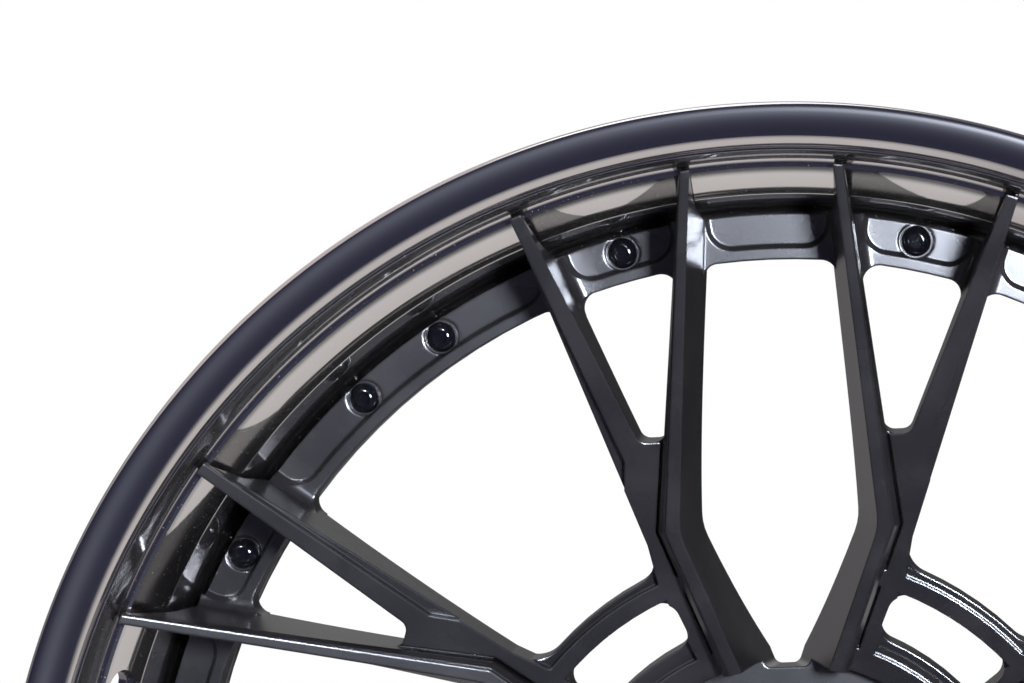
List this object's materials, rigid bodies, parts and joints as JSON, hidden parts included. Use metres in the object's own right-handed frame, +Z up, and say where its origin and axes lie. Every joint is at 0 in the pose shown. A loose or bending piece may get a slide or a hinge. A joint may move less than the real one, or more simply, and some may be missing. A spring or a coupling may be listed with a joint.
{
  "type": "split rim wheel",
  "caption": "Deep-dish multi-piece car wheel with a stepped smoked lip, a satin black double-Y spoke disc, a ring of assembly bolts and an inner barrel.",
  "frame": {"origin": "centre of the hub bore in the plane of the hub mounting pad", "axes": "Y along the axle, with the street face towards -Y and the car towards +Y; +Z up through the middle of one spoke unit"},
  "size_m": [0.5938, 0.2956, 0.5938],
  "materials": {
    "lip": "smoked mirror polish",
    "barrel": "satin black coat",
    "disc": "satin black powder coat",
    "bolts": "gloss black",
    "nuts": "zinc plated",
    "seal": "matt sealant"
  },
  "bodies": {
    "root": {"outer_lip": "lip", "inner_barrel": "barrel", "centre_disc": "disc", "assembly_bolts": "bolts", "assembly_nuts": "nuts", "joint_seal": "seal"}
  },
  "joints": []
}
